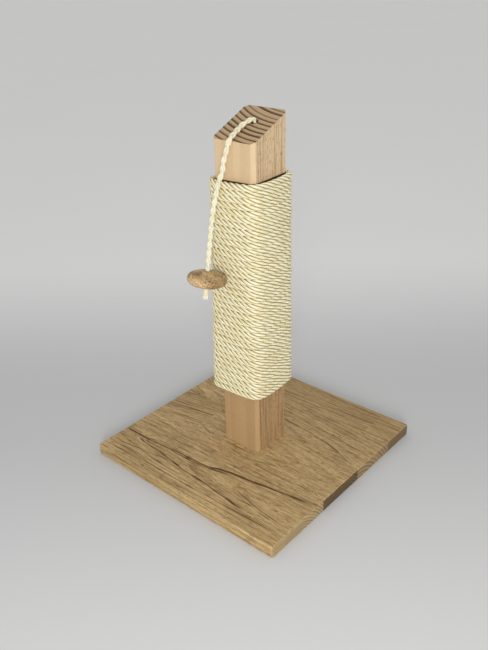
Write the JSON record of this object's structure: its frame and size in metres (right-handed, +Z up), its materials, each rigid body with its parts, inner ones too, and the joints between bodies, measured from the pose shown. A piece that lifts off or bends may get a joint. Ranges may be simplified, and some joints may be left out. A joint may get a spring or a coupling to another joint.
{
  "type": "cat scratching post",
  "caption": "Free-standing cat scratching post: a square timber wound with sisal rope on a square oak base, with a wooden bead toy hanging on a cord from its slanted top.",
  "frame": {"origin": "centre of the base's underside", "axes": "+Z up along the post, +X along the grain of the base's staves, -Y the side that the toy hangs on"},
  "size_m": [0.35, 0.35, 0.518],
  "materials": {
    "oak": "fine-grained oiled oak, satin",
    "beech": "planed beech, matt",
    "bead_wood": "turned wood, satin",
    "sisal": "three-strand laid sisal",
    "cotton_cord": "braided cotton",
    "steel": "zinc-plated steel"
  },
  "bodies": {
    "post_and_base": {"base_stave_1": "oak", "base_stave_2": "oak", "base_stave_3_short": "oak", "base_stave_3_long": "oak", "base_stave_4": "oak", "base_stave_5_long": "oak", "base_stave_5_short": "oak", "post": "beech", "base_screws": "steel", "sisal_rope": "sisal", "rope_tacks": "steel", "toy_cord_top": "cotton_cord"},
    "toy_hanger": {"toy_cord_upper": "cotton_cord"},
    "toy_drop": {"toy_cord_drop": "cotton_cord", "stopper_knot": "cotton_cord"},
    "bead": {"toy_bead": "bead_wood"}
  },
  "joints": [
    {"name": "toy_swing_out", "type": "hinge", "parent": "post_and_base", "child": "toy_hanger", "pos_m": [-0.0018, -0.039, 0.48943], "axis": [-1, 0, 0], "range_deg": [0, 75]},
    {"name": "toy_swing_side", "type": "hinge", "parent": "toy_hanger", "child": "toy_drop", "pos_m": [-0.0145, -0.05238, 0.43356], "axis": [0, 1, 0], "range_deg": [-45, 45]},
    {"name": "bead_spin", "type": "hinge", "parent": "toy_drop", "child": "bead", "pos_m": [-0.0145, -0.0765, 0.30906], "axis": [0, -0.1902, -0.9817], "continuous": true}
  ]
}
